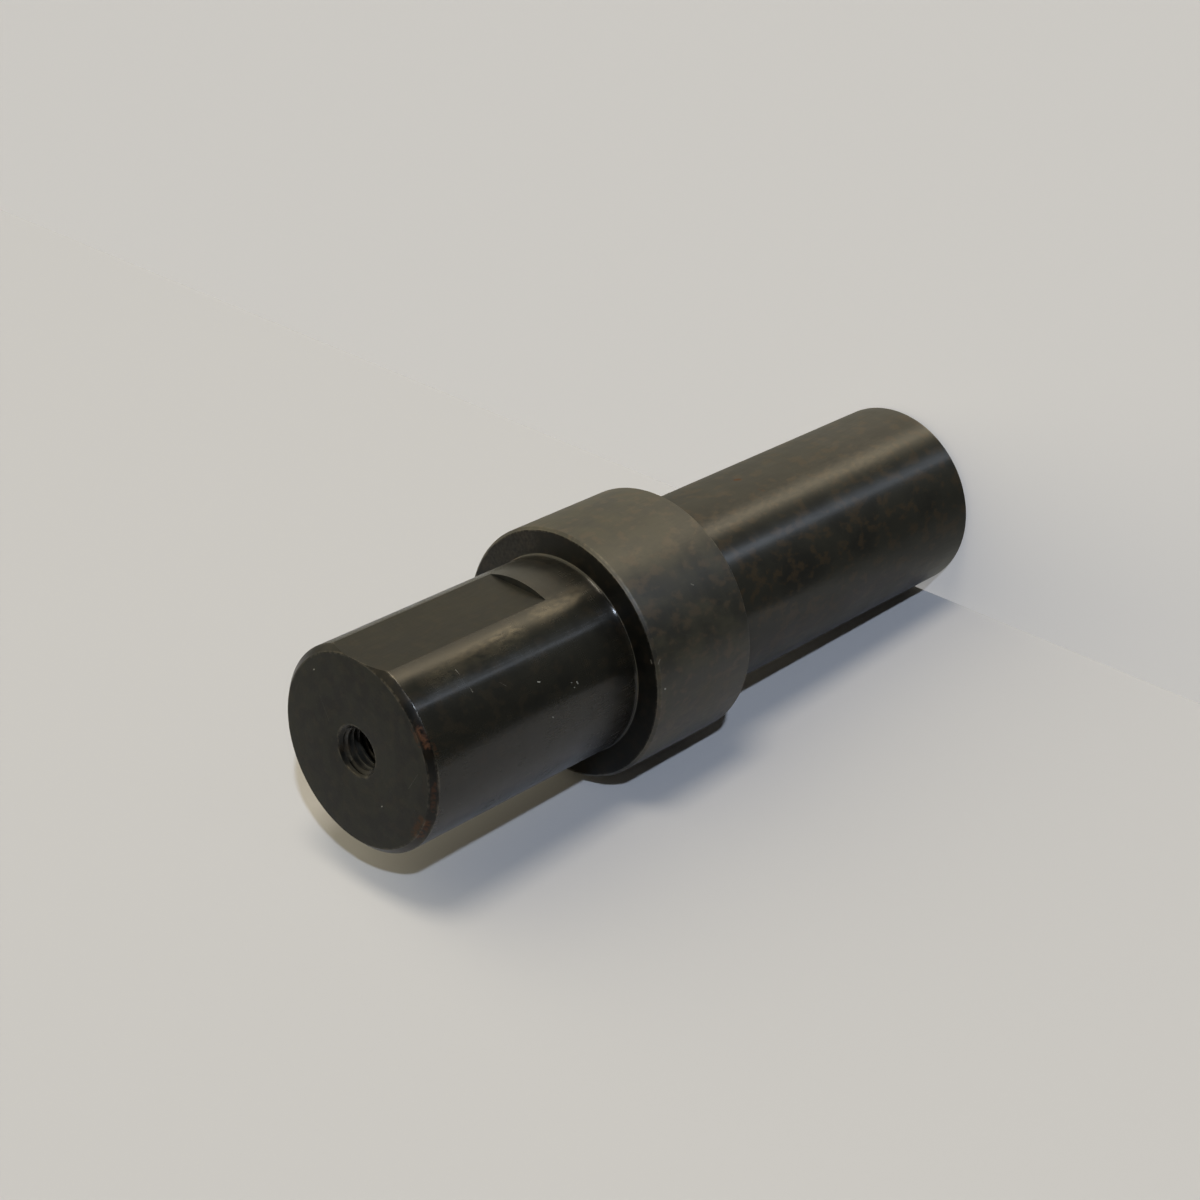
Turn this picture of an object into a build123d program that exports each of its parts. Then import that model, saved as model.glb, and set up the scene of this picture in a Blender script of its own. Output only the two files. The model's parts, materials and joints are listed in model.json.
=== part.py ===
"""Stepped shaft, turned in one piece, standing on its plain end with the tapped end up.

The origin is the centre of the plain end face, +Z runs up the axis and +X is the
direction that the milled flat faces.  All sizes are in millimetres and degrees.
"""
from build123d import *
from math import radians, sqrt, tan
import os

# Turned steps, from the plain end up
JOURNAL_DIAMETER = 50.0
COLLAR_DIAMETER = 63.5
PLAIN_JOURNAL_LENGTH = 99.0
COLLAR_LENGTH = 33.0
TAPPED_JOURNAL_LENGTH = 65.0

# Edges
END_CHAMFER = 1.6
COLLAR_EDGE_BREAK = 0.7

# Relief groove in the corner between each journal and the collar
RELIEF_WIDTH = 2.5
RELIEF_DEPTH = 0.3
RELIEF_FILLET = 0.8
RELIEF_EXIT_ANGLE = 15.0

# Flat for a set screw, milled in from the tapped end and stopped by a square wall
FLAT_DEPTH = 1.7
FLAT_LENGTH = 50.0
CUTTER_OVERRUN = 5.0

# Blind hole for an M12 end screw, at its tapping-drill size under a countersunk mouth
TAP_DRILL_DIAMETER = 10.2
TAP_DRILL_DEPTH = 32.0
DRILL_POINT_ANGLE = 118.0
TAP_MOUTH_DIAMETER = 12.6
TAP_MOUTH_ANGLE = 90.0

# Lathe centre hole in the plain end
PILOT_DIAMETER = 4.0
PILOT_DEPTH = 8.9
CENTRE_MOUTH_DIAMETER = 8.5
CENTRE_ANGLE = 60.0

# Derived sizes
JOURNAL_RADIUS = JOURNAL_DIAMETER / 2
COLLAR_RADIUS = COLLAR_DIAMETER / 2
RELIEF_RADIUS = JOURNAL_RADIUS - RELIEF_DEPTH
RELIEF_FLOOR_WIDTH = RELIEF_WIDTH - RELIEF_DEPTH / tan(radians(RELIEF_EXIT_ANGLE))
COLLAR_BOTTOM = PLAIN_JOURNAL_LENGTH
COLLAR_TOP = COLLAR_BOTTOM + COLLAR_LENGTH
OVERALL_LENGTH = COLLAR_TOP + TAPPED_JOURNAL_LENGTH
FLAT_HEIGHT = JOURNAL_RADIUS - FLAT_DEPTH
FLAT_WIDTH = 2 * sqrt(JOURNAL_RADIUS**2 - FLAT_HEIGHT**2)


def cone_height(large_diameter, small_diameter, included_angle):
    """Length along the axis of a cone that joins two diameters."""
    return (large_diameter - small_diameter) / 2 / tan(radians(included_angle / 2))


def turned_form():
    """Both journals and the collar, revolved from one half section."""
    with BuildPart() as form:
        with BuildSketch(Plane.XZ) as half_section:
            with BuildLine():
                Polyline(
                    (0, 0),
                    (JOURNAL_RADIUS, 0),
                    (JOURNAL_RADIUS, COLLAR_BOTTOM - RELIEF_WIDTH),
                    (RELIEF_RADIUS, COLLAR_BOTTOM - RELIEF_FLOOR_WIDTH),
                    (RELIEF_RADIUS, COLLAR_BOTTOM),
                    (COLLAR_RADIUS, COLLAR_BOTTOM),
                    (COLLAR_RADIUS, COLLAR_TOP),
                    (RELIEF_RADIUS, COLLAR_TOP),
                    (RELIEF_RADIUS, COLLAR_TOP + RELIEF_FLOOR_WIDTH),
                    (JOURNAL_RADIUS, COLLAR_TOP + RELIEF_WIDTH),
                    (JOURNAL_RADIUS, OVERALL_LENGTH),
                    (0, OVERALL_LENGTH),
                    close=True,
                )
            make_face()

            def corners(radius, *levels):
                """The section's corners at one radius and at any of the given heights."""
                places = [Vector(radius, level) for level in levels]
                return [v for v in half_section.vertices() if Vector(*v) in places]

            fillet(corners(RELIEF_RADIUS, COLLAR_BOTTOM, COLLAR_TOP), RELIEF_FILLET)
            chamfer(corners(COLLAR_RADIUS, COLLAR_BOTTOM, COLLAR_TOP), COLLAR_EDGE_BREAK)
            chamfer(corners(JOURNAL_RADIUS, 0, OVERALL_LENGTH), END_CHAMFER)
        revolve(axis=Axis.Z)
    return form.part


def milled_flat():
    """The stock that the cutter takes off to leave the flat and its end wall."""
    with BuildPart() as chip:
        with Locations((FLAT_HEIGHT, 0, OVERALL_LENGTH - FLAT_LENGTH)):
            Box(
                FLAT_DEPTH + CUTTER_OVERRUN,
                FLAT_WIDTH + 2 * CUTTER_OVERRUN,
                FLAT_LENGTH + CUTTER_OVERRUN,
                align=(Align.MIN, Align.CENTER, Align.MIN),
            )
    return chip.part


def drilled_hole(diameter, depth, mouth_diameter, mouth_angle):
    """A hole along -Z from the origin: a conical mouth, a straight wall and a drilled tip."""
    mouth_height = cone_height(mouth_diameter, diameter, mouth_angle)
    tip_height = cone_height(diameter, 0, DRILL_POINT_ANGLE)
    with BuildPart() as hole:
        with BuildSketch(Plane.XZ):
            with BuildLine():
                Polyline(
                    (0, 0),
                    (mouth_diameter / 2, 0),
                    (diameter / 2, -mouth_height),
                    (diameter / 2, -depth),
                    (0, -depth - tip_height),
                    close=True,
                )
            make_face()
        revolve(axis=Axis.Z)
    return hole.part


def tapped_hole():
    """The blind hole in the tapped end, opening upwards."""
    hole = drilled_hole(TAP_DRILL_DIAMETER, TAP_DRILL_DEPTH, TAP_MOUTH_DIAMETER, TAP_MOUTH_ANGLE)
    return Pos(0, 0, OVERALL_LENGTH) * hole


def centre_hole():
    """The lathe centre in the plain end, opening downwards."""
    hole = drilled_hole(PILOT_DIAMETER, PILOT_DEPTH, CENTRE_MOUTH_DIAMETER, CENTRE_ANGLE)
    return Rot(180, 0, 0) * hole


def stepped_shaft():
    """The finished shaft: turned, then milled, then drilled at both ends."""
    return turned_form() - milled_flat() - tapped_hole() - centre_hole()


os.makedirs("parts", exist_ok=True)
shaft = stepped_shaft()
shaft.label = "shaft"
export_step(shaft, "parts/shaft.step")
print(f"shaft: {OVERALL_LENGTH:.1f} mm long, {COLLAR_DIAMETER:.1f} mm across, {shaft.volume / 1000:.1f} cm3")
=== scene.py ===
# %% [markdown]
# # A blackened steel stepped shaft
#
# The object is a heavy turned shaft: a long plain journal, a thicker collar, and a
# shorter journal with a flat for a set screw and a tapped hole in its end.  All of it
# is one piece of steel with a black oxide finish, oiled, handled and a little worn.
#
# The CAD model is the fixed frame: it stands on its plain end, +Z runs up the axis,
# +X is the way the flat faces, and lengths are in metres.  This lesson makes four
# things on that frame: the turned body, its thread, the black finish, and a small
# studio with lamps and a camera.

# %% Load the frame
import json
from math import atan, cos, degrees, pi, radians, sin, sqrt, tan

import bpy
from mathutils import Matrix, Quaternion, Vector

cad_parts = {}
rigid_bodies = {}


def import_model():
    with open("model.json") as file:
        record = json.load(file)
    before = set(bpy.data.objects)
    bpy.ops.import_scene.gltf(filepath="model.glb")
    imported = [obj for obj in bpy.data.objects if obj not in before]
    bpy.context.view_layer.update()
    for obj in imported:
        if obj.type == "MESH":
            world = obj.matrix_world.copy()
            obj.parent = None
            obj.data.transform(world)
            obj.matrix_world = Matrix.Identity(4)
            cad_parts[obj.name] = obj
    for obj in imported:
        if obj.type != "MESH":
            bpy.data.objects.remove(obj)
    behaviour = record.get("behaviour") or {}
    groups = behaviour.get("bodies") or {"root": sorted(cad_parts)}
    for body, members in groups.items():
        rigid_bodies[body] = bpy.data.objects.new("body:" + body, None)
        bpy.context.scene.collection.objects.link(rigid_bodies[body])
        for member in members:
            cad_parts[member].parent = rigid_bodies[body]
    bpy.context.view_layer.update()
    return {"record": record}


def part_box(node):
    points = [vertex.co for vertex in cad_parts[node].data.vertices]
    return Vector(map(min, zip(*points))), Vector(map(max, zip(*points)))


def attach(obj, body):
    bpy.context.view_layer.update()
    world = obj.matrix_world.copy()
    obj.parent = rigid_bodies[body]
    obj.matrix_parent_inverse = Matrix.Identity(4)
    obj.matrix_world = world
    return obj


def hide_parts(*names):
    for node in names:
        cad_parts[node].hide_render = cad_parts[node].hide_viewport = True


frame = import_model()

# %% [markdown]
# ## Sizes
#
# The large sizes are read from the frame, so that the visible shaft cannot drift from
# the CAD one: the length and the collar from the CAD node's box, the journals, the
# flat and the hole from the record's mounts.  The small ones, such as chamfers and
# grooves, are written here in millimetres, as a drawing would give them.

# %% Sizes from the frame and the drawing
MM = 0.001
low_corner, high_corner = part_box("shaft")
mounts = {mount["name"]: mount for mount in frame["record"]["mounts"]}

overall_length = high_corner.z
collar_radius = high_corner.x
journal_radius = mounts["tapped_end_journal"]["dims"]["r_mm"] * MM
collar_bottom = mounts["plain_end_shoulder"]["pos_m"][2]
collar_top = mounts["tapped_end_shoulder"]["pos_m"][2]
flat_height = mounts["set_screw_flat"]["pos_m"][0]
flat_length = 2 * (overall_length - mounts["set_screw_flat"]["pos_m"][2])
bore_radius = mounts["tapped_hole"]["dims"]["r_mm"] * MM

end_chamfer = 1.6 * MM
collar_edge_break = 0.7 * MM
relief_width = 2.5 * MM
relief_depth = 0.3 * MM
relief_fillet = 0.8 * MM
relief_exit_slope = tan(radians(15))
edge_rounding = 0.12 * MM

bore_depth = 32.0 * MM
bore_mouth_radius = 6.3 * MM
pilot_radius = 2.0 * MM
pilot_depth = 8.9 * MM
centre_mouth_radius = 4.25 * MM
drill_point_slope = tan(radians(31))
centre_slope = tan(radians(60))

print(f"length {overall_length / MM:.1f} mm, collar radius {collar_radius / MM:.2f} mm")
print(f"journal radius {journal_radius / MM:.1f} mm, flat {flat_length / MM:.1f} mm long")

# %% [markdown]
# ## The turned body
#
# On the real shaft a lathe cuts every round face while the bar spins, so the body is
# one half section turned about the axis.  Blender's Spin does the same.  The section
# is drawn as a chain of points from the tip of the centre drilling in the plain end,
# out along the faces and back to the tip of the hole in the tapped end.  Both ends of
# the chain are on the axis, so the turned skin closes by itself.

# %% A chain of points
def draw_chain(name, points):
    """A new object with one chain of edges through the points, drawn by extruding a single vertex."""
    bpy.ops.object.select_all(action="DESELECT")
    bpy.ops.mesh.primitive_plane_add(size=MM)
    piece = bpy.context.object
    piece.name = name
    bpy.ops.object.mode_set(mode="EDIT")
    bpy.ops.mesh.select_mode(type="VERT")
    bpy.ops.mesh.select_all(action="SELECT")
    bpy.ops.mesh.merge(type="CENTER")
    bpy.ops.transform.translate(value=points[0])
    for here, there in zip(points, points[1:]):
        bpy.ops.mesh.extrude_vertices_move(TRANSFORM_OT_translate={"value": there - here})
    bpy.ops.object.mode_set(mode="OBJECT")
    return piece


def section_points(*pairs):
    """Radius and height pairs as points of the half section, which lies in the XZ plane."""
    return [Vector((radius, 0, height)) for radius, height in pairs]


# %% The half section
relief_radius = journal_radius - relief_depth
relief_floor = relief_width - relief_depth / relief_exit_slope

half_section = section_points(
    (0, pilot_depth + pilot_radius * drill_point_slope),
    (pilot_radius, pilot_depth),
    (pilot_radius, (centre_mouth_radius - pilot_radius) * centre_slope),
    (centre_mouth_radius, 0),
    (journal_radius, 0),
    (journal_radius, collar_bottom - relief_width),
    (relief_radius, collar_bottom - relief_floor),
    (relief_radius, collar_bottom),
    (collar_radius, collar_bottom),
    (collar_radius, collar_top),
    (relief_radius, collar_top),
    (relief_radius, collar_top + relief_floor),
    (journal_radius, collar_top + relief_width),
    (journal_radius, overall_length),
    (bore_mouth_radius, overall_length),
    (bore_radius, overall_length - (bore_mouth_radius - bore_radius)),
    (bore_radius, overall_length - bore_depth),
    (0, overall_length - bore_depth - bore_radius * drill_point_slope),
)
shaft = draw_chain("stepped_shaft", half_section)
print("half section:", len(shaft.data.vertices), "points")

# %% Spin it about the axis
BODY_STEPS = 256

bpy.ops.object.mode_set(mode="EDIT")
bpy.ops.mesh.select_all(action="SELECT")
bpy.ops.mesh.spin(steps=BODY_STEPS, angle=2 * pi, center=(0, 0, 0), axis=(0, 0, 1))
bpy.ops.mesh.select_all(action="SELECT")
bpy.ops.mesh.remove_doubles(threshold=0.001 * MM)
bpy.ops.mesh.normals_make_consistent(inside=False)
bpy.ops.object.mode_set(mode="OBJECT")
print("turned body:", len(shaft.data.polygons), "faces")

# %% [markdown]
# ## Chamfers, groove corners and broken edges
#
# The machinist now breaks the edges: a wide chamfer on each end, a narrow one on the
# collar, and a small radius in the bottom of each relief groove, where the grinding
# wheel needs room.  Each is a Bevel on the ring of edges at that corner.  The rings
# are selected in code by their radius and height.  A last, tiny bevel goes on every
# corner that is still sharp: no steel edge is a knife, and it is this thin rounding
# that catches the light.

# %% Select rings of edges by place
def select_rings(piece, *places):
    """Select, in edit mode, every edge that runs round the axis at one of the (radius, height) places."""
    bpy.ops.object.mode_set(mode="EDIT")
    bpy.ops.mesh.select_all(action="DESELECT")
    bpy.ops.mesh.select_mode(type="EDGE")
    bpy.ops.object.mode_set(mode="OBJECT")
    near = 0.01 * MM
    vertices = piece.data.vertices

    def on_ring(vertex, place):
        radius = sqrt(vertex.co.x**2 + vertex.co.y**2)
        return abs(radius - place[0]) < near and abs(vertex.co.z - place[1]) < near

    for edge in piece.data.edges:
        start, end = (vertices[i] for i in edge.vertices)
        edge.select = any(on_ring(start, p) and on_ring(end, p) for p in places)
    found = sum(edge.select for edge in piece.data.edges)
    bpy.ops.object.mode_set(mode="EDIT")
    return found


def bevel_rings(piece, width, segments, *places):
    """Bevel the rings at the places, and leave the piece in object mode."""
    found = select_rings(piece, *places)
    bpy.ops.mesh.bevel(offset=width, segments=segments, affect="EDGES")
    bpy.ops.object.mode_set(mode="OBJECT")
    print(f"bevelled {found} edges by {width / MM:.2f} mm")


# %% Break the edges
bevel_rings(shaft, end_chamfer, 1, (journal_radius, 0), (journal_radius, overall_length))
bevel_rings(shaft, collar_edge_break, 1, (collar_radius, collar_bottom), (collar_radius, collar_top))
bevel_rings(shaft, relief_fillet, 5, (relief_radius, collar_bottom), (relief_radius, collar_top))

# %% Round what is still sharp
SHARP_ANGLE = radians(30)

bpy.ops.object.mode_set(mode="EDIT")
bpy.ops.mesh.select_all(action="DESELECT")
bpy.ops.mesh.edges_select_sharp(sharpness=SHARP_ANGLE)
bpy.ops.mesh.bevel(offset=edge_rounding, segments=3, affect="EDGES")
bpy.ops.object.mode_set(mode="OBJECT")
print("edges broken:", len(shaft.data.polygons), "faces")

# %% [markdown]
# ## The flat
#
# A set screw needs a flat to bear on.  A milling cutter takes it off the journal from
# the tapped end and stops at a square wall, so a plain block is taken away with a
# Boolean modifier.  The block is a cube primitive that starts exactly on the flat and
# runs well past the journal everywhere else.

# %% Mill the flat
def cut_away(piece, cutter):
    """Take the cutter out of the piece and throw the cutter away."""
    cut = piece.modifiers.new("cut", "BOOLEAN")
    cut.operation = "DIFFERENCE"
    cut.solver = "EXACT"
    cut.object = cutter
    bpy.ops.object.select_all(action="DESELECT")
    bpy.context.view_layer.objects.active = piece
    piece.select_set(True)
    bpy.ops.object.modifier_apply(modifier=cut.name)
    bpy.data.objects.remove(cutter)


cutter_overrun = 5.0 * MM
cutter_low = Vector((flat_height, -journal_radius - cutter_overrun, overall_length - flat_length))
cutter_high = Vector((journal_radius + cutter_overrun, journal_radius + cutter_overrun,
                      overall_length + cutter_overrun))
bpy.ops.object.select_all(action="DESELECT")
bpy.ops.mesh.primitive_cube_add(size=1, location=(cutter_low + cutter_high) / 2,
                                scale=cutter_high - cutter_low)
cut_away(shaft, bpy.context.object)
print("with the flat:", len(shaft.data.polygons), "faces")

# %% [markdown]
# ## The thread
#
# The hole takes an M12 screw.  A tap is a screw with cutting edges that is driven down
# the drilled hole and leaves a helical groove, so the cutter here is that groove
# itself: its four-cornered section, swept by a Screw modifier, one turn for each
# pitch.  The flanks stand at the standard 60 degrees.  The sweep ends above the mouth,
# so that the thread runs out cleanly through the countersink.

# %% Cut the thread
thread_pitch = 1.75 * MM
thread_turns = 16
thread_steps = 48
thread_root_radius = 6.05 * MM
groove_inner_radius = bore_radius - 0.3 * MM
thread_flank_slope = tan(radians(30))
root_half_width = thread_pitch / 16
inner_half_width = root_half_width + (thread_root_radius - groove_inner_radius) * thread_flank_slope
thread_start = overall_length + thread_pitch - thread_turns * thread_pitch

groove = draw_chain("thread_groove", section_points(
    (groove_inner_radius, thread_start - inner_half_width),
    (thread_root_radius, thread_start - root_half_width),
    (thread_root_radius, thread_start + root_half_width),
    (groove_inner_radius, thread_start + inner_half_width),
))
bpy.ops.object.mode_set(mode="EDIT")
bpy.ops.mesh.select_all(action="SELECT")
bpy.ops.mesh.edge_face_add()
bpy.ops.mesh.delete(type="ONLY_FACE")
bpy.ops.object.mode_set(mode="OBJECT")

sweep = groove.modifiers.new("sweep", "SCREW")
sweep.angle = 2 * pi
sweep.screw_offset = thread_pitch
sweep.iterations = thread_turns
sweep.steps = sweep.render_steps = thread_steps
bpy.ops.object.modifier_apply(modifier=sweep.name)
bpy.ops.object.mode_set(mode="EDIT")
bpy.ops.mesh.select_all(action="SELECT")
bpy.ops.mesh.fill_holes(sides=4)
bpy.ops.mesh.select_all(action="SELECT")
bpy.ops.mesh.normals_make_consistent(inside=False)
bpy.ops.object.mode_set(mode="OBJECT")
cut_away(shaft, groove)
print("with the thread:", len(shaft.data.polygons), "faces")

# %% [markdown]
# ## Smooth shading and the frame
#
# A turned face is smooth all the way round, but the mesh is made of narrow strips.
# Smooth shading hides the strips, and the angle keeps the chamfers and the flat crisp.
# The finished body then rides on the one CAD body and stands for its one node.

SMOOTH_BELOW = radians(18)

bpy.ops.object.select_all(action="DESELECT")
bpy.context.view_layer.objects.active = shaft
shaft.select_set(True)
bpy.ops.object.shade_smooth_by_angle(angle=SMOOTH_BELOW)

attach(shaft, "root")
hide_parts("shaft")
print(shaft.name, "rides on root and replaces the CAD shaft")

# %% [markdown]
# ## A small shader kit
#
# The finish is worked out from places: how far a point is from an edge, a scratch or
# the axis, and how that is broken up by noise.  Each sum is a Math node, which is slow
# to read when it is wired by hand, so the class Value wraps a number socket and lets
# Python's own +, - and * add the nodes.  The class Nodes makes every other kind of
# node with one method, and has a few shapes that the finish needs again and again.

# %% Shader maths as Python
class Value:
    """A number socket that works in Python arithmetic; each operation adds a Math node."""

    def __init__(self, nodes, socket):
        self.nodes, self.socket = nodes, socket

    def __add__(self, other):
        return self.nodes.math("ADD", self, other)

    def __sub__(self, other):
        return self.nodes.math("SUBTRACT", self, other)

    def __rsub__(self, other):
        return self.nodes.math("SUBTRACT", other, self)

    def __mul__(self, other):
        return self.nodes.math("MULTIPLY", self, other)

    __radd__, __rmul__ = __add__, __mul__


class Nodes:
    """The node tree of one new material or world, emptied first."""

    def __init__(self, owner):
        owner.use_nodes = True
        self.owner = owner
        self.tree = owner.node_tree
        self.tree.nodes.clear()

    def add(self, node_type, settings=None, **inputs):
        """A node of one type, its settings made first, then its sockets given values or links."""
        node = self.tree.nodes.new(node_type)
        for name, value in (settings or {}).items():
            if name == "stops":
                self.set_stops(node.color_ramp.elements, value)
            else:
                setattr(node, name, value)
        for name, value in inputs.items():
            self.feed(node.inputs[name.replace("_", " ")], value)
        return node

    def set_stops(self, elements, stops):
        """Give a new colour ramp the (position, colour) stops, of which the last is at its end."""
        elements.remove(elements[0])
        for position, colour in stops[:-1]:
            elements.new(position).color = colour
        elements[-1].position, elements[-1].color = stops[-1]

    def feed(self, socket, value):
        """Link a socket to another, or write a constant on it."""
        value = getattr(value, "socket", value)
        if isinstance(value, bpy.types.NodeSocket):
            self.tree.links.new(value, socket)
        else:
            socket.default_value = value

    def in_order(self, node_type, settings, *terms):
        """A node whose sockets are fed by their order, as in Math and Vector Math."""
        node = self.add(node_type, settings)
        for socket, term in zip(node.inputs, terms):
            self.feed(socket, term)
        return node

    def math(self, operation, *terms):
        node = self.in_order("ShaderNodeMath", {"operation": operation}, *terms)
        return Value(self, node.outputs[0])

    def vector(self, operation, *terms):
        return self.in_order("ShaderNodeVectorMath", {"operation": operation}, *terms)

    def blend(self, factor, first, second):
        """The first colour where the factor is 0, and the second where it is 1."""
        mix = self.add("ShaderNodeMix", {"data_type": "RGBA"}, Factor=factor)
        self.feed(mix.inputs[6], first)
        self.feed(mix.inputs[7], second)
        return mix.outputs[2]

    def rise(self, value, low, high):
        """0 up to the low value, 1 from the high value on, and a soft step between them."""
        step = self.add("ShaderNodeMapRange", {"interpolation_type": "SMOOTHSTEP"},
                        Value=value, From_Min=low, From_Max=high)
        return Value(self, step.outputs["Result"])

    def noise(self, place, grain, detail=2.0):
        """Noise from 0 to 1, whose grain has the given size in metres along each axis."""
        scaled = self.vector("DIVIDE", place, grain).outputs[0]
        noise = self.add("ShaderNodeTexNoise", Vector=scaled, Scale=1.0, Detail=detail)
        return Value(self, noise.outputs[0])

    def ring(self, radius, height, at, width):
        """1 on the ring about the axis at (radius, height), fading to 0 at the width from it."""
        ring_radius, ring_height = at
        out, up = radius - ring_radius, height - ring_height
        return 1 - self.rise(self.math("SQRT", out * out + up * up), 0.3 * width, width)

    def line(self, place, start, end, width):
        """1 along the straight line from start to end, fading to 0 at half the width on each side."""
        along = end - start
        from_start = self.vector("SUBTRACT", place, start).outputs[0]
        share = self.vector("DOT_PRODUCT", from_start, along / along.length_squared).outputs["Value"]
        share = self.add("ShaderNodeClamp", Value=share).outputs[0]
        nearest = self.in_order("ShaderNodeVectorMath", {"operation": "SCALE"}, along)
        self.feed(nearest.inputs["Scale"], share)
        gap = self.vector("DISTANCE", from_start, nearest.outputs[0]).outputs["Value"]
        return 1 - self.rise(gap, 0.15 * width, 0.5 * width)


# %% [markdown]
# ## The zones of the shaft
#
# One piece of steel, but several finishes: each face was made by another tool, and the
# black oxide keeps the marks of that tool.  The journals are ground and the shiniest.
# The collar is only turned and looks dull.  The ends are faced, the flat is milled and
# the hole is drilled and tapped.  Every face of the mesh is told apart by its place
# and by the way it looks, and takes the material of its zone.

# %% Tell the zones apart
def shaft_zone(centre, normal):
    """The name of the finish on a face of the shaft, told by its place and the way it looks."""
    radius = sqrt(centre.x**2 + centre.y**2)
    near = 0.01 * MM
    in_bore = radius < bore_mouth_radius and collar_bottom < centre.z < overall_length - near
    in_centre_hole = radius < centre_mouth_radius and near < centre.z < collar_bottom
    looks_along = abs(normal.z) > 0.9
    slopes = 0.3 < abs(normal.z) < 0.9
    at_an_end = centre.z > overall_length - end_chamfer or centre.z < end_chamfer
    at_the_rim = radius > journal_radius - end_chamfer - edge_rounding
    in_the_mouth = bore_radius < radius < bore_mouth_radius
    if slopes and at_an_end and (at_the_rim or in_the_mouth):
        return "chamfer"
    if in_bore or in_centre_hole:
        return "drilled_hole"
    if abs(normal.x) > 0.999 and abs(centre.x - flat_height) < near:
        return "milled_flat"
    if looks_along and (centre.z > collar_top + MM or centre.z < collar_bottom - MM):
        return "faced_end"
    if looks_along:
        return "collar_face"
    if radius > journal_radius + edge_rounding:
        return "turned_collar"
    return "tapped_journal" if centre.z > collar_top - MM else "plain_journal"


# %% [markdown]
# ## The finishes in numbers
#
# A black oxide is a thin glassy layer, so most of what is seen is what it mirrors.
# The colour underneath is almost black, with an olive tint where the bath was less
# even.  Roughness says how soft the mirror is, and "ior" how strong.  "Stain" is how
# much brown comes through in patches.  A ground or turned face is rougher across its
# marks than along them, which draws a lamp out into a long streak: that is the
# anisotropy.  "Blotch" is the size of the cloudy patches, "marks" the width of the
# tool marks, and the edges are where the oxide rubs through first.

# %% The finishes
BARE_STEEL = (0.30, 0.27, 0.22, 1)
RUST = (0.075, 0.030, 0.012, 1)
BROWN = (0.050, 0.033, 0.017, 1)
SCRATCHED = (0.22, 0.21, 0.18, 1)
DUST = (0.42, 0.42, 0.38, 1)

TAPPED_RIM = [(journal_radius, overall_length - end_chamfer),
              (journal_radius - end_chamfer, overall_length)]
PLAIN_RIM = [(journal_radius, end_chamfer), (journal_radius - end_chamfer, 0)]
COLLAR_RIMS = [(collar_radius, collar_top - collar_edge_break),
               (collar_radius - collar_edge_break, collar_top),
               (collar_radius, collar_bottom + collar_edge_break),
               (collar_radius - collar_edge_break, collar_bottom)]
BORE_RIM = [(bore_mouth_radius, overall_length)]

FINISHES = {
    "tapped_journal": dict(
        dark=(0.0048, 0.0046, 0.0038, 1), olive=(0.0105, 0.0098, 0.0070, 1), ior=1.5, stain=0.15,
        roughness=0.24, anisotropy=1.0, blotch=7 * MM, marks=0.16 * MM, edges=TAPPED_RIM),
    "plain_journal": dict(
        dark=(0.0110, 0.0108, 0.0092, 1), olive=(0.0210, 0.0203, 0.0155, 1), ior=1.5, stain=0.55,
        roughness=0.36, anisotropy=1.0, blotch=9 * MM, marks=0.18 * MM, edges=PLAIN_RIM),
    "turned_collar": dict(
        dark=(0.0055, 0.0052, 0.0028, 1), olive=(0.0260, 0.0235, 0.0125, 1), ior=1.68, stain=0.6,
        roughness=0.52, anisotropy=0.6, blotch=6 * MM, marks=0.30 * MM, edges=COLLAR_RIMS),
    "collar_face": dict(
        dark=(0.0014, 0.0014, 0.0011, 1), olive=(0.0034, 0.0033, 0.0024, 1), ior=1.30, stain=0.1,
        roughness=0.42, anisotropy=0.0, blotch=5 * MM, marks=0.30 * MM, edges=COLLAR_RIMS),
    "faced_end": dict(
        dark=(0.0026, 0.0028, 0.0025, 1), olive=(0.0102, 0.0108, 0.0080, 1), ior=1.38, stain=0.12,
        roughness=0.60, anisotropy=0.0, blotch=4 * MM, marks=0.35 * MM,
        edges=TAPPED_RIM + PLAIN_RIM + BORE_RIM),
    "milled_flat": dict(
        dark=(0.0090, 0.0088, 0.0070, 1), olive=(0.0160, 0.0150, 0.0105, 1), ior=1.32, stain=0.12,
        roughness=0.48, anisotropy=0.0, blotch=9 * MM, marks=0.40 * MM, edges=TAPPED_RIM),
    "chamfer": dict(
        dark=(0.0014, 0.0014, 0.0012, 1), olive=(0.0036, 0.0034, 0.0027, 1), ior=1.34, stain=0.12,
        roughness=0.34, anisotropy=0.0, blotch=3 * MM, marks=0.30 * MM, edges=TAPPED_RIM + BORE_RIM),
    "drilled_hole": dict(
        dark=(0.0100, 0.0095, 0.0080, 1), olive=(0.0260, 0.0245, 0.0200, 1), ior=1.50, stain=0.3,
        roughness=0.35, anisotropy=0.0, blotch=2 * MM, marks=0.25 * MM, edges=BORE_RIM),
}
print("finishes:", ", ".join(FINISHES))

# %% [markdown]
# ## Scratches, chips, rust and dust
#
# What makes a black part look real is the little that has happened to it since.  Each
# mark is a short line in space, given by its two ends in millimetres and its width:
# a scratch is long and thin, a chip or a speck is almost a point, and a rub is wide
# and faint.  The last number is how strong the mark is.

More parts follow.
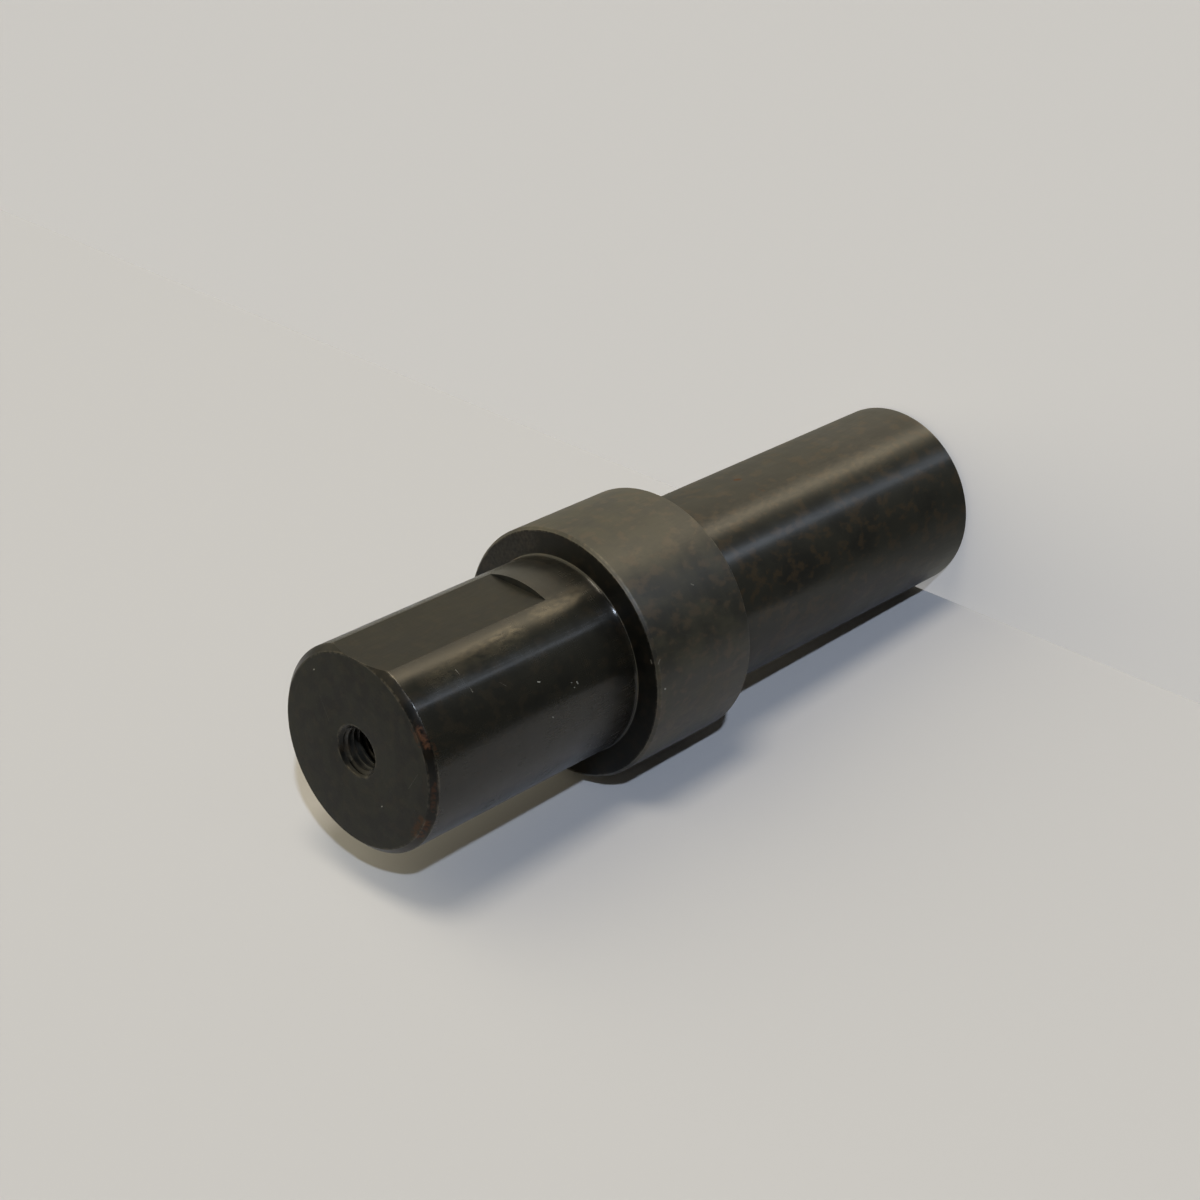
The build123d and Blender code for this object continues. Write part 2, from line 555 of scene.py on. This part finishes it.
# %% Where the marks are
RUBS = {
    "tapped_journal": [((20.2, -14.6, 186), (21.4, -12.9, 160), 7.0, 0.16),
                       ((22.3, -11.2, 152), (22.6, -10.6, 136), 7.0, 0.12)],
    "plain_journal": [((21.9, -12.0, 33), (21.6, -12.6, 26), 9.0, 0.07),
                      ((23.5, -8.5, 90), (23.5, -8.5, 20), 12.0, 0.05)],
    "turned_collar": [((28.0, -15.0, 128), (27.0, -16.7, 106), 9.0, 0.05),
                      ((-14.0, -28.4, 129), (-14.0, -28.4, 103), 16.0, 0.10)],
    # The collar face's mark only makes that face barer and lighter from about 24 to 58 degrees round the
    # axis.
    "collar_face": [((26.5, 12.0, 132), (15.0, 24.5, 132), 10.0, 0.05)],
}
SCRATCHES = {
    "tapped_journal": [((20.3, -14.6, 180.6), (16.2, -19.0, 179.7), 0.34, 0.8),
                       ((15.8, -19.3, 172.0), (14.6, -20.3, 170.6), 0.18, 0.3),
                       ((6.0, -24.3, 186.0), (5.2, -24.5, 178.0), 0.16, 0.15)],
    "turned_collar": [((8.7, -30.6, 131.9), (10.0, -30.2, 130.6), 0.50, 0.7),
                      ((20.7, -24.1, 112.8), (21.0, -23.8, 113.3), 0.45, 0.6),
                      ((14.0, -28.6, 124.0), (11.4, -29.7, 118.5), 0.16, 0.2)],
    "collar_face": [((9.0, -28.9, 132.0), (9.7, -28.6, 132.0), 0.55, 0.6)],
    "faced_end": [((-2.0, -17.0, 197), (3.0, -20.0, 197), 0.15, 0.2),
                  ((4.0, 9.0, 197), (9.5, 12.0, 197), 0.15, 0.15)],
}
RUST_SPOTS = {
    "chamfer": [((14.0, -19.8, 196.4), (10.5, -22.2, 196.2), 2.4, 0.8),
                ((-8.5, -22.4, 196.4), (-13.5, -19.8, 196.4), 2.6, 0.9),
                ((2.0, -24.3, 196.2), (-5.0, -23.8, 196.2), 1.6, 0.5)],
    "tapped_journal": [((12.0, -22.0, 195.0), (8.0, -23.6, 194.6), 1.6, 0.35),
                       ((-5.0, -24.5, 195.0), (-10.0, -22.8, 194.8), 1.6, 0.35)],
    "faced_end": [((13.5, -18.5, 197), (10.5, -20.5, 197), 1.8, 0.5),
                  ((-8.0, -21.0, 197), (-13.0, -18.5, 197), 2.6, 0.5)],
    "plain_journal": [((24.9, 1.8, 67.8), (24.9, 1.2, 66.8), 1.8, 0.9),
                      ((24.4, -5.6, 66.8), (24.3, -6.0, 66.0), 1.6, 0.8)],
    "drilled_hole": [((-4.4, -4.4, 196.6), (-2.0, -5.9, 196.4), 1.2, 0.6)],
}
SPECKS = {
    "tapped_journal": [((12.8, -21.5, 161.9), (12.6, -21.6, 161.4), 0.45, 0.8),
                       ((4.3, -24.6, 160.1), (4.1, -24.7, 159.9), 0.40, 0.7),
                       ((9.2, -23.2, 151.0), (8.8, -23.4, 150.8), 0.50, 0.7),
                       ((8.4, -23.6, 152.2), (8.3, -23.6, 152.0), 0.35, 0.6),
                       ((9.6, -23.1, 152.6), (9.5, -23.1, 152.5), 0.35, 0.6)],
    "turned_collar": [((2.6, -31.6, 130.1), (2.5, -31.6, 129.9), 0.60, 0.9)],
    "faced_end": [((15.4, 13.6, 197), (15.2, 13.8, 197), 0.40, 0.7),
                  ((-10.5, -8.3, 197), (-10.7, -8.1, 197), 0.40, 0.6)],
}
for title, table in (("rubs", RUBS), ("scratches", SCRATCHES), ("rust", RUST_SPOTS), ("specks", SPECKS)):
    print(title, sum(len(marks) for marks in table.values()))

# %% [markdown]
# ## The black oxide
#
# Two surfaces lie over each other.  The lower one is bare steel, and the upper one is
# the oxide.  A mask mixes them: the oxide is gone in scratches, thin where the shaft
# was rubbed, and broken along the edges.  Noise breaks up each mask, because real
# wear is never even.  The tool marks go round the axis, so their noise is very fine
# along the axis (or along the radius, on a flat end) and long round it.  The same
# marks also drive the bump, so that a streak of light breaks up as on real steel.

# %% The grain of the noises
MARK_LENGTH = 25 * MM
MOTTLE_GRAIN = (0.9 * MM, 0.9 * MM, 2.2 * MM)
HANDLING_GRAIN = (0.45 * MM, 0.45 * MM, 6 * MM)
STAIN_GRAIN = (2.6 * MM, 2.6 * MM, 3.4 * MM)
GRIT_GRAIN = (0.22 * MM, 0.22 * MM, 0.22 * MM)

EDGE_WEAR_WIDTH = 0.5 * MM
EDGE_WEAR_STRENGTH = 0.18
BUMP_STRENGTH = 0.5
BUMP_HEIGHT = 0.004 * MM
QUARTER_TURN = 0.25
print(f"tool marks {MARK_LENGTH / MM:.0f} mm long, bump {BUMP_HEIGHT / MM:.3f} mm high")


# %% The marks of one zone
def strongest_mark(nodes, table, zone, place):
    """The strongest of a zone's marks at each point, and 0 where it has none."""
    strongest = 0.0
    for start, end, width, strength in table.get(zone, []):
        mark = nodes.line(place, Vector(start) * MM, Vector(end) * MM, width * MM) * strength
        strongest = nodes.math("MAXIMUM", strongest, mark)
    return strongest


# %% Make the finishes
def black_oxide(name, dark, olive, ior, stain, roughness, anisotropy, blotch, marks, edges):
    """The material of one zone, from its finish in numbers and its marks."""
    nodes = Nodes(bpy.data.materials.new(name))
    place = nodes.add("ShaderNodeTexCoord").outputs["Object"]
    parts = nodes.add("ShaderNodeSeparateXYZ", Vector=place).outputs
    x, y, height = (Value(nodes, socket) for socket in parts)
    radius = nodes.math("SQRT", x * x + y * y)
    polar = nodes.add("ShaderNodeCombineXYZ", X=x, Y=y, Z=radius + height).outputs[0]

    tool_marks = nodes.noise(polar, (MARK_LENGTH, MARK_LENGTH, marks), detail=3)
    broad_marks = nodes.noise(polar, (2 * MARK_LENGTH, 2 * MARK_LENGTH, 20 * marks), detail=3)
    clouds = nodes.noise(place, (blotch, blotch, 1.6 * blotch), detail=5)
    mottle = nodes.noise(place, MOTTLE_GRAIN, detail=4)
    handling = nodes.noise(place, HANDLING_GRAIN, detail=3)
    stains = nodes.noise(place, STAIN_GRAIN, detail=6)
    grit = nodes.noise(place, GRIT_GRAIN, detail=1)

    def all_marks(table):
        return strongest_mark(nodes, table, name, place)

    edge_wear = 0.0
    for at in edges:
        edge_wear = nodes.math("MAXIMUM", edge_wear, nodes.ring(radius, height, at, EDGE_WEAR_WIDTH))
    edge_wear = edge_wear * nodes.rise(clouds * 0.5 + mottle * 0.5, 0.42, 0.62) * EDGE_WEAR_STRENGTH
    rubbed = all_marks(RUBS) * nodes.rise(mottle, 0.30, 0.68) if name in RUBS else 0.0
    scratched = all_marks(SCRATCHES) * nodes.rise(grit, 0.25, 0.50) if name in SCRATCHES else 0.0
    bare = nodes.math("MAXIMUM", edge_wear, rubbed)

    rust = all_marks(RUST_SPOTS) * nodes.rise(mottle, 0.36, 0.60) if name in RUST_SPOTS else 0.0
    dust = nodes.math("MAXIMUM", all_marks(SPECKS), nodes.rise(grit, 0.80, 0.86) * 0.25)

    colour = nodes.blend(nodes.rise(clouds, 0.38, 0.62), dark, olive)
    colour = nodes.blend(nodes.rise(broad_marks, 0.45, 0.70) * 0.5, colour, olive)
    colour = nodes.blend(nodes.rise(stains, 0.50, 0.64) * stain, colour, BROWN)
    colour = nodes.blend(rust, colour, RUST)
    colour = nodes.blend(scratched, colour, SCRATCHED)
    colour = nodes.blend(dust, colour, DUST)
    softness = (roughness - 0.22 + clouds * 0.14 + broad_marks * 0.10 + tool_marks * 0.08
                + handling * 0.12 + rust * 0.25)

    relief = tool_marks * 0.6 + grit * 0.3 + mottle * 0.4 + handling * 0.5 - scratched * 2.0
    bump = nodes.add("ShaderNodeBump", Strength=BUMP_STRENGTH, Distance=BUMP_HEIGHT,
                     Height=relief).outputs[0]

    oxide = nodes.add("ShaderNodeBsdfPrincipled", Base_Color=colour, Roughness=softness, IOR=ior,
                      Anisotropic=anisotropy, Anisotropic_Rotation=QUARTER_TURN, Normal=bump)
    steel = nodes.add("ShaderNodeBsdfPrincipled", Base_Color=BARE_STEEL, Metallic=1.0,
                      Roughness=roughness, Anisotropic=anisotropy,
                      Anisotropic_Rotation=QUARTER_TURN, Normal=bump)
    surface = nodes.in_order("ShaderNodeMixShader", {}, bare, oxide.outputs[0], steel.outputs[0])
    nodes.add("ShaderNodeOutputMaterial", Surface=surface.outputs[0])
    print(f"{name}: {len(nodes.tree.nodes)} nodes")
    return nodes.owner


# %% Give each face the finish of its zone
shaft.data.materials.clear()
zone_names = list(FINISHES)
for name in zone_names:
    shaft.data.materials.append(black_oxide(name, **FINISHES[name]))
faces_in_zone = dict.fromkeys(zone_names, 0)
for face in shaft.data.polygons:
    zone = shaft_zone(face.center, face.normal)
    face.material_index = zone_names.index(zone)
    faces_in_zone[zone] += 1
print("faces in each zone:", faces_in_zone)

# %% [markdown]
# ## The table and the backdrop
#
# The shaft lies on a pale table.  In the frame it stands upright, so the table stands
# too: it is the backdrop, a card that touches the collar and the rim of the plain end,
# as a real table would, and leans by the small angle between them.  The floor under
# the plain end is a pale card too, and has a faint glow that only the camera sees, so
# that the two look alike.  The backdrop is seen from its front only, so that a camera
# behind it still sees the shaft.  Neither card lights the shaft or shades the other.
# The floor is also hidden from mirrored rays, which see the room card under it.

# %% Pale cards
def pale_card(name, colour, glow):
    """Matt paper on the front of a face, with a faint glow for the camera alone, and nothing on its back."""
    nodes = Nodes(bpy.data.materials.new(name))
    seen_by_camera = nodes.add("ShaderNodeLightPath").outputs["Is Camera Ray"]
    glow = nodes.blend(seen_by_camera, (0, 0, 0, 1), (glow, glow, glow, 1))
    paper = nodes.add("ShaderNodeBsdfPrincipled", Base_Color=colour, Roughness=0.9, Specular_IOR_Level=0.1,
                      Emission_Color=glow, Emission_Strength=1.0)
    clear = nodes.add("ShaderNodeBsdfTransparent")
    from_behind = nodes.add("ShaderNodeNewGeometry").outputs["Backfacing"]
    sheet = nodes.in_order("ShaderNodeMixShader", {}, from_behind, paper.outputs[0], clear.outputs[0])
    nodes.add("ShaderNodeOutputMaterial", Surface=sheet.outputs[0])
    return nodes.owner


def set_as_card(piece, name, colour, glow=0.0):
    """Name a card of the studio, give it its paper and keep its light off everything else."""
    piece.name = name
    piece.data.materials.append(pale_card(f"{name}_paper", colour, glow))
    piece.visible_diffuse = piece.visible_shadow = False
    return piece


# %% Floor
floor_size = 6.0
bpy.ops.object.select_all(action="DESELECT")
bpy.ops.mesh.primitive_plane_add(size=floor_size)
floor = set_as_card(bpy.context.object, "floor", (0.60, 0.59, 0.60, 1), glow=0.24)
floor.visible_glossy = False
print("the floor is", floor_size, "metres square")

# %% Backdrop
backdrop_height = 0.36
backdrop_left, backdrop_right = 0.52, -0.22
lean = atan((collar_radius - journal_radius) / (collar_bottom + collar_edge_break))

bpy.ops.object.select_all(action="DESELECT")
bpy.ops.mesh.primitive_plane_add(size=1)
backdrop = bpy.context.object
bpy.ops.object.mode_set(mode="EDIT")
bpy.ops.transform.resize(value=(backdrop_height, backdrop_left - backdrop_right, 1))
bpy.ops.transform.translate(value=(backdrop_height / 2, (backdrop_left + backdrop_right) / 2, 0))
bpy.ops.transform.rotate(value=pi / 2 + lean, orient_axis="Y", center_override=(0, 0, 0))
bpy.ops.transform.translate(value=(-journal_radius, 0, 0))
bpy.ops.mesh.flip_normals()
bpy.ops.object.mode_set(mode="OBJECT")
set_as_card(backdrop, "backdrop", (0.63, 0.63, 0.65, 1))
print("the backdrop leans by", round(degrees(lean), 1), "degrees")

# %% [markdown]
# ## What the steel mirrors
#
# A dark, half shiny cylinder shows its room more than its own colour.  The camera looks
# down, so the shaft mirrors what lies low round it: a dim room, with one bright warm
# window and one thin cool lamp.  A round card just under the floor stands for that
# room.  It glows by compass direction, and only mirrored rays can see it, so it puts
# the dark core and the warm band on the steel without showing in the picture.  Its
# colours are set to give the bands that such a room gives on this shaft.

# %% The room in the mirror
ROOM = (
    (-180, (0.66, 0.66, 0.60)),
    (-135, (0.36, 0.36, 0.32)),
    (-110, (0.21, 0.21, 0.18)),
    (-85, (0.13, 0.13, 0.11)),
    (-68, (0.19, 0.19, 0.16)),
    (-50, (0.27, 0.27, 0.23)),
    (-39.7, (0.30, 0.30, 0.26)),
    (-38.8, (5.6, 6.3, 7.4)),
    (-37.9, (0.30, 0.30, 0.26)),
    (-17, (0.28, 0.28, 0.22)),
    (-10, (0.45, 0.42, 0.32)),
    (-6, (3.70, 3.10, 2.10)),
    (0, (2.40, 2.05, 1.42)),
    (7, (1.20, 1.06, 0.80)),
    (22, (1.20, 1.06, 0.80)),
    (40, (1.15, 1.03, 0.78)),
    (60, (0.72, 0.67, 0.53)),
    (95, (0.46, 0.44, 0.36)),
    (180, (0.66, 0.66, 0.60)),
)
print("the room has", len(ROOM), "directions")

# %% The room card
room_radius = 4.0
room_corners = 64
room_depth = -60 * MM

bpy.ops.object.select_all(action="DESELECT")
bpy.ops.mesh.primitive_circle_add(radius=room_radius, vertices=room_corners, fill_type="NGON",
                                  location=(0, 0, room_depth))
room = bpy.context.object
room.name = "room_card"
nodes = Nodes(bpy.data.materials.new("room_card"))
place = nodes.add("ShaderNodeTexCoord").outputs["Object"]
compass = nodes.add("ShaderNodeTexGradient", {"gradient_type": "RADIAL"}, Vector=place).outputs["Fac"]
stops = [((azimuth + 180) / 360, (*light, 1)) for azimuth, light in ROOM]
ramp = nodes.add("ShaderNodeValToRGB", {"stops": stops}, Fac=compass)
glow = nodes.add("ShaderNodeEmission", Color=ramp.outputs["Color"], Strength=1.0)
nodes.add("ShaderNodeOutputMaterial", Surface=glow.outputs[0])
room.data.materials.append(nodes.owner)
room.visible_camera = room.visible_diffuse = room.visible_transmission = room.visible_shadow = False
print("room card:", len(ramp.color_ramp.elements), "stops")

# %% [markdown]
# ## The lamps
#
# Three lights make the three tones of the shadow.  A small cool lamp draws the sharp
# edge close to the shaft.  A warm window, twenty degrees wide, gives the soft step
# beyond it.  A very broad warm panel fades the rest.  A thin strip lamp adds the fine
# streak along the journals.

# %% Lamps
def direction(azimuth, elevation):
    """The unit vector that points towards a compass direction and a height above the floor."""
    return Vector((cos(azimuth) * cos(elevation), sin(azimuth) * cos(elevation), sin(elevation)))


def hang(name, lamp, azimuth, elevation, distance=1.0):
    """Put a lamp into the scene so that it shines back at the shaft from a direction."""
    holder = bpy.data.objects.new(name, lamp)
    bpy.context.scene.collection.objects.link(holder)
    holder.location = direction(azimuth, elevation) * distance
    holder.rotation_euler = direction(azimuth, elevation).to_track_quat("Z", "Y").to_euler()
    return holder


def sun(name, azimuth, elevation, width, strength, colour):
    """A lamp so far away that its light is even; its width in degrees softens the shadow."""
    lamp = bpy.data.lights.new(name, "SUN")
    lamp.energy, lamp.angle, lamp.color = strength, radians(width), colour
    hang(name, lamp, radians(azimuth), radians(elevation))
    print(f"{name}: azimuth {azimuth}, elevation {elevation}, {width} degrees wide")


COOL, WARM, AMBER = (0.74, 0.84, 1.0), (1.0, 0.90, 0.73), (1.0, 0.90, 0.64)
sun("cool_lamp", -36, 27, 2, 1.42, COOL)
sun("window", -4, 14, 20, 1.06, WARM)
sun("warm_panel", 50, 35, 90, 1.7, AMBER)

# %% The strip lamp
strip_width, strip_length = 0.012, 1.3
strip_azimuth = radians(-38)
strip_distance = strip_raise = 0.7

strip_lamp = bpy.data.lights.new("strip_lamp", "AREA")
strip_lamp.shape, strip_lamp.size, strip_lamp.size_y = "RECTANGLE", strip_width, strip_length
strip_lamp.energy, strip_lamp.color = 0.06, COOL
strip = hang("strip_lamp", strip_lamp, strip_azimuth, 0.0, strip_distance)
strip.location.z += strip_raise
strip.visible_camera = False
print(f"strip lamp: {strip_length} m long, {strip_distance} m away")

# %% [markdown]
# ## The world
#
# What lies beyond the floor is a pale wall to the camera, and a dim room to every
# other ray, so that the wall doesn't light the shaft.

# %% World
DIM_ROOM, PALE_WALL = (0.05, 0.0475, 0.0425, 1), (0.58, 0.56, 0.53, 1)

world = bpy.data.worlds.new("room")
bpy.context.scene.world = world
nodes = Nodes(world)
seen_by_camera = nodes.add("ShaderNodeLightPath").outputs["Is Camera Ray"]
wall = nodes.blend(seen_by_camera, DIM_ROOM, PALE_WALL)
background = nodes.add("ShaderNodeBackground", Color=wall, Strength=1.0)
nodes.add("ShaderNodeOutputWorld", Surface=background.outputs[0])
print("world: dim for the shaft, pale for the camera")

# %% [markdown]
# ## The camera
#
# The camera looks down at the tapped end from about forty degrees and is rolled far
# over, so that the shaft seems to lie on its table.  The lens is a long one, which
# keeps the two journals nearly the same width.

# %% Camera
view_azimuth, view_elevation, view_roll = radians(37.66), radians(40.87), radians(114.93)
aim_point = Vector((6.1, 4.7, 113.6)) * MM
camera_distance = 583.2 * MM

lens_length, sensor_width = 71.63, 36.0
nearest_seen = 10 * MM

camera_data = bpy.data.cameras.new("camera")
camera_data.lens, camera_data.sensor_width = lens_length, sensor_width
camera_data.clip_start = nearest_seen
camera = bpy.data.objects.new("camera", camera_data)
bpy.context.scene.collection.objects.link(camera)
towards_camera = direction(view_azimuth - pi / 2, view_elevation)
camera.location = aim_point + camera_distance * towards_camera
upright = towards_camera.to_track_quat("Z", "Y")
camera.rotation_euler = (upright @ Quaternion((0, 0, 1), -view_roll)).to_euler()
bpy.context.scene.camera = camera
bpy.context.scene.view_settings.view_transform = "Standard"
print("camera at", [round(v, 3) for v in camera.location])
